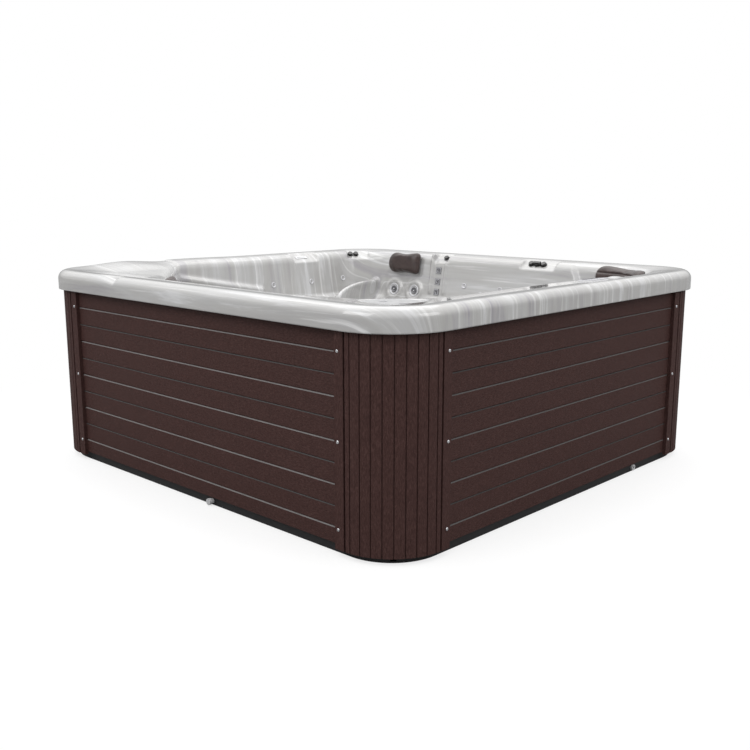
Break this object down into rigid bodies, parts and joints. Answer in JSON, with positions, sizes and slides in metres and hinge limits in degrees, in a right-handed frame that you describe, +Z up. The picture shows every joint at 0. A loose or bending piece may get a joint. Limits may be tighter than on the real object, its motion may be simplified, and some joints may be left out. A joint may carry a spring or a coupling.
{
  "type": "hot tub",
  "caption": "Square outdoor hot tub: marbled acrylic shell with moulded seats and footwell in a slatted cabinet with rounded slatted corners, on a low base tray.",
  "frame": {"origin": "bottom centre of the base tray, on the ground", "axes": "+Z up; +X along the long side, towards the side panel with the supply cable; -Y towards the front panel with the drain outlet"},
  "size_m": [2.2, 2.11, 0.854],
  "materials": {
    "acrylic": "gloss marbled acrylic",
    "cabinet": "wood-grain embossed plank",
    "screws": "stainless pan head",
    "tray": "black moulded base",
    "timber": "treated softwood",
    "foam": "foil-faced insulation",
    "pillow": "skinned soft foam",
    "jet_steel": "brushed ring",
    "jet_plastic": "moulded jet internals",
    "white_plastic": "moulded fitting",
    "lens": "clear ribbed lens",
    "dark_trim": "dark moulded control",
    "lid": "moulded lid",
    "bezel": "moulded panel frame",
    "buttons": "soft keypad",
    "cartridge": "pleated filter cloth",
    "motor": "painted casting",
    "wet_end": "moulded volute",
    "heater": "drawn tube",
    "box": "control enclosure",
    "hose": "flexible hose",
    "handle": "valve handle",
    "cable": "sheathed cable",
    "grey_fitting": "moulded fitting"
  },
  "bodies": {
    "tub": {"acrylic_shell": "acrylic", "front_panel": "cabinet", "back_panel": "cabinet", "left_panel": "cabinet", "right_panel": "cabinet", "front_left_corner": "cabinet", "front_right_corner": "cabinet", "back_left_corner": "cabinet", "back_right_corner": "cabinet", "cabinet_screws": "screws", "base_tray": "tray", "frame_posts": "timber", "frame_rails": "timber", "insulation_sheets": "foam", "back_left_pillow": "pillow", "back_right_pillow": "pillow", "lounger_pillow": "pillow", "rotary_jet_rings": "jet_steel", "small_jets": "jet_plastic", "neck_jets": "jet_plastic", "rotary_jet_bodies": "white_plastic", "waterfall_spout": "white_plastic", "floor_drain": "white_plastic", "suction_covers": "white_plastic", "skimmer_housing": "white_plastic", "slice_valves": "white_plastic", "heater_unions": "white_plastic", "water_pipes": "white_plastic", "drain_valve": "white_plastic", "footwell_light": "lens", "air_control_plate": "dark_trim", "diverter_plate": "dark_trim", "control_bezel": "bezel", "pump_motor": "motor", "pump_wet_end": "wet_end", "heater_tube": "heater", "control_box": "box", "jet_hoses": "hose", "supply_cable": "cable", "cable_gland": "grey_fitting"},
    "air_knob_left": {"air_knob_left": "dark_trim"},
    "air_knob_right": {"air_knob_right": "dark_trim"},
    "diverter_knob_left": {"diverter_knob_left": "dark_trim"},
    "diverter_handle": {"diverter_handle": "dark_trim"},
    "diverter_knob_right": {"diverter_knob_right": "dark_trim"},
    "neck_valve_knob": {"neck_valve_knob": "dark_trim"},
    "rotary_nozzle_left": {"rotary_nozzle_left": "jet_plastic"},
    "rotary_nozzle_right": {"rotary_nozzle_right": "jet_plastic"},
    "jets_button": {"jets_button": "buttons"},
    "light_button": {"light_button": "buttons"},
    "warmer_button": {"warmer_button": "buttons"},
    "cooler_button": {"cooler_button": "buttons"},
    "weir_flap": {"weir_flap": "white_plastic"},
    "filter_lid": {"filter_lid": "lid"},
    "filter_set": {"filter_basket": "white_plastic", "filter_cartridge": "cartridge"},
    "pump_rotor": {"pump_rotor": "wet_end"},
    "suction_slice_handle": {"suction_slice_handle": "handle"},
    "pressure_slice_handle": {"pressure_slice_handle": "handle"},
    "drain_cap": {"drain_cap": "grey_fitting"}
  },
  "joints": [
    {"name": "air_knob_left_turn", "type": "hinge", "parent": "tub", "child": "air_knob_left", "pos_m": [-0.95724, 0.79671, 0.821], "axis": [0.452, -0.3531, 0.8192], "range_deg": [-135, 135]},
    {"name": "air_knob_right_turn", "type": "hinge", "parent": "tub", "child": "air_knob_right", "pos_m": [-0.93754, 0.82192, 0.821], "axis": [0.452, -0.3531, 0.8192], "range_deg": [-135, 135]},
    {"name": "diverter_knob_left_turn", "type": "hinge", "parent": "tub", "child": "diverter_knob_left", "pos_m": [0.218, 0.929, 0.821], "axis": [0, -0.5736, 0.8192], "range_deg": [-135, 135]},
    {"name": "diverter_handle_turn", "type": "hinge", "parent": "tub", "child": "diverter_handle", "pos_m": [0.255, 0.929, 0.821], "axis": [0, -0.5736, 0.8192], "range_deg": [-90, 90]},
    {"name": "diverter_knob_right_turn", "type": "hinge", "parent": "tub", "child": "diverter_knob_right", "pos_m": [0.292, 0.929, 0.821], "axis": [0, -0.5736, 0.8192], "range_deg": [-135, 135]},
    {"name": "neck_valve_knob_turn", "type": "hinge", "parent": "tub", "child": "neck_valve_knob", "pos_m": [-0.336, 0.929, 0.821], "axis": [0, -0.5736, 0.8192], "range_deg": [-135, 135]},
    {"name": "rotary_nozzle_left_spin", "type": "hinge", "parent": "tub", "child": "rotary_nozzle_left", "pos_m": [-0.674, 0.86936, 0.637], "axis": [0, -0.9863, 0.165], "continuous": true},
    {"name": "rotary_nozzle_right_spin", "type": "hinge", "parent": "tub", "child": "rotary_nozzle_right", "pos_m": [-0.524, 0.86936, 0.637], "axis": [0, -0.9863, 0.165], "continuous": true},
    {"name": "jets_button_press", "type": "slide", "parent": "tub", "child": "jets_button", "axis": [0.0995, 0, -0.995], "range_m": [0, 0.0015], "stiffness_N_per_m": 400},
    {"name": "light_button_press", "type": "slide", "parent": "tub", "child": "light_button", "axis": [0.0995, 0, -0.995], "range_m": [0, 0.0015], "stiffness_N_per_m": 400},
    {"name": "warmer_button_press", "type": "slide", "parent": "tub", "child": "warmer_button", "axis": [0.0995, 0, -0.995], "range_m": [0, 0.0015], "stiffness_N_per_m": 400},
    {"name": "cooler_button_press", "type": "slide", "parent": "tub", "child": "cooler_button", "axis": [0.0995, 0, -0.995], "range_m": [0, 0.0015], "stiffness_N_per_m": 400},
    {"name": "weir_flap_tilt", "type": "hinge", "parent": "tub", "child": "weir_flap", "pos_m": [0.6791, -0.63737, 0.69498], "axis": [0.7615, 0.6482, 0], "range_deg": [0, 50]},
    {"name": "filter_lid_lift", "type": "slide", "parent": "tub", "child": "filter_lid", "axis": [0, 0, 1], "range_m": [0, 0.5]},
    {"name": "filter_set_lift", "type": "slide", "parent": "tub", "child": "filter_set", "axis": [0, 0, 1], "range_m": [0, 0.4]},
    {"name": "pump_spin", "type": "hinge", "parent": "tub", "child": "pump_rotor", "pos_m": [0.06, -0.7, 0.15], "axis": [1, 0, 0], "continuous": true},
    {"name": "suction_valve_push", "type": "slide", "parent": "tub", "child": "suction_slice_handle", "axis": [0, 0, -1], "range_m": [0, 0.05]},
    {"name": "pressure_valve_push", "type": "slide", "parent": "tub", "child": "pressure_slice_handle", "axis": [0, 0, -1], "range_m": [0, 0.05]},
    {"name": "drain_cap_pull", "type": "slide", "parent": "tub", "child": "drain_cap", "axis": [0, -1, 0], "range_m": [0, 0.03]}
  ],
  "couplings": [
    {"joint": "filter_set_lift", "follows": "filter_lid_lift", "ratio": 0.8}
  ]
}
